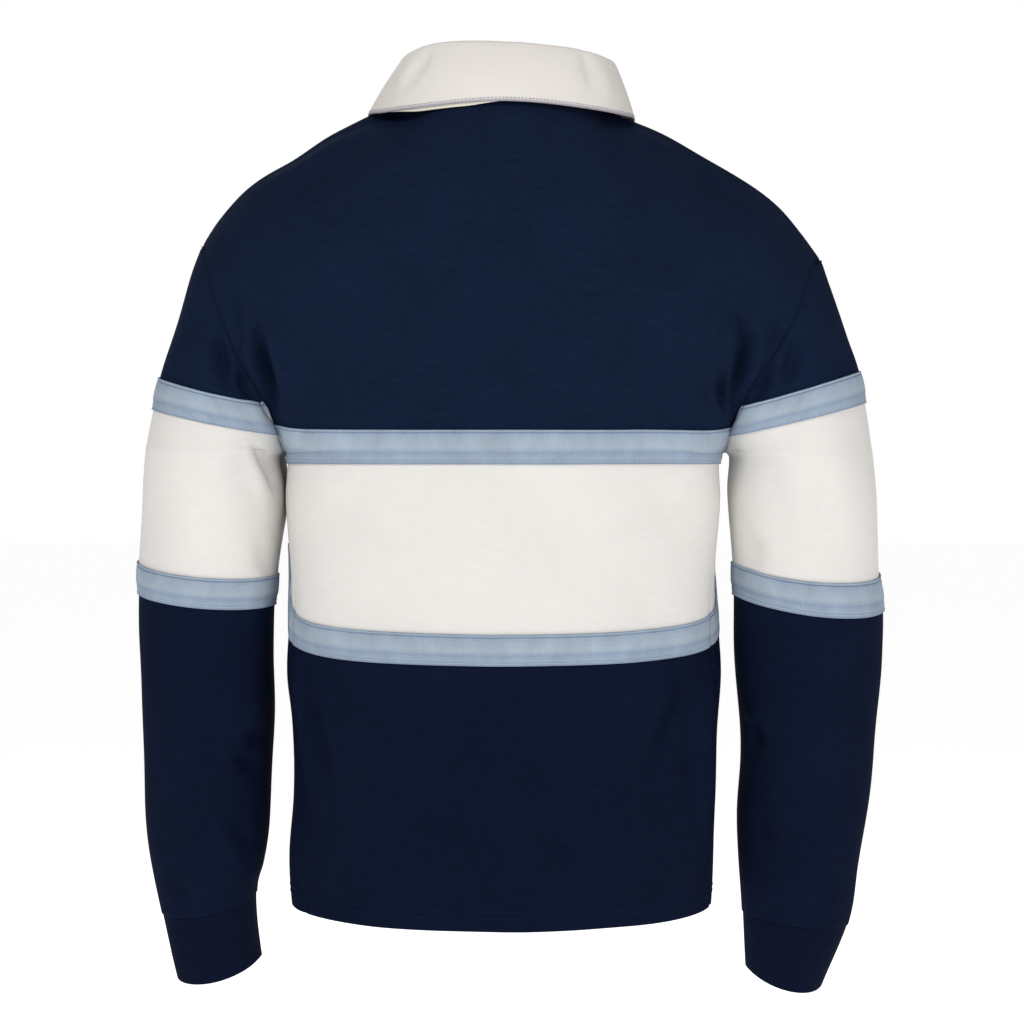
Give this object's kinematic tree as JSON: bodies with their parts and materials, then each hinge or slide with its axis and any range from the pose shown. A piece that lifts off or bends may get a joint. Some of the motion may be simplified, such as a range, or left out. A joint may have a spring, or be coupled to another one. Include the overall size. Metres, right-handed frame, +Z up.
{
  "type": "rugby shirt",
  "caption": "Long-sleeved rugby shirt in banded heavy jersey with a folded twill collar, a buttoned placket and plain cuffs, filled out as if it were worn.",
  "frame": {"origin": "middle of the neck base, where the wearer's neck and shoulders hold the shirt", "axes": "+Z up, front faces -Y, wearer's left arm at +X"},
  "size_m": [0.651, 0.2375, 0.8185],
  "materials": {
    "navy_jersey": "matte",
    "white_jersey": "matte",
    "blue_tape": "matte",
    "collar_twill": "matte",
    "button_rubber": "satin"
  },
  "bodies": {
    "root": {"back_upper": "navy_jersey", "back_middle": "white_jersey", "back_lower": "navy_jersey", "back_tape_upper": "blue_tape", "back_tape_lower": "blue_tape", "front_upper": "navy_jersey", "front_middle": "white_jersey", "front_lower": "navy_jersey", "front_tape_upper": "blue_tape", "front_tape_lower": "blue_tape", "sleeve_left_upper": "navy_jersey", "sleeve_left_middle": "white_jersey", "sleeve_left_lower": "navy_jersey", "sleeve_left_tape_upper": "blue_tape", "sleeve_left_tape_lower": "blue_tape", "cuff_left": "navy_jersey", "sleeve_right_upper": "navy_jersey", "sleeve_right_middle": "white_jersey", "sleeve_right_lower": "navy_jersey", "sleeve_right_tape_upper": "blue_tape", "sleeve_right_tape_lower": "blue_tape", "cuff_right": "navy_jersey", "collar": "collar_twill", "placket_under": "collar_twill", "placket_over": "collar_twill", "button_1": "button_rubber", "button_2": "button_rubber", "button_3": "button_rubber"}
  },
  "joints": []
}
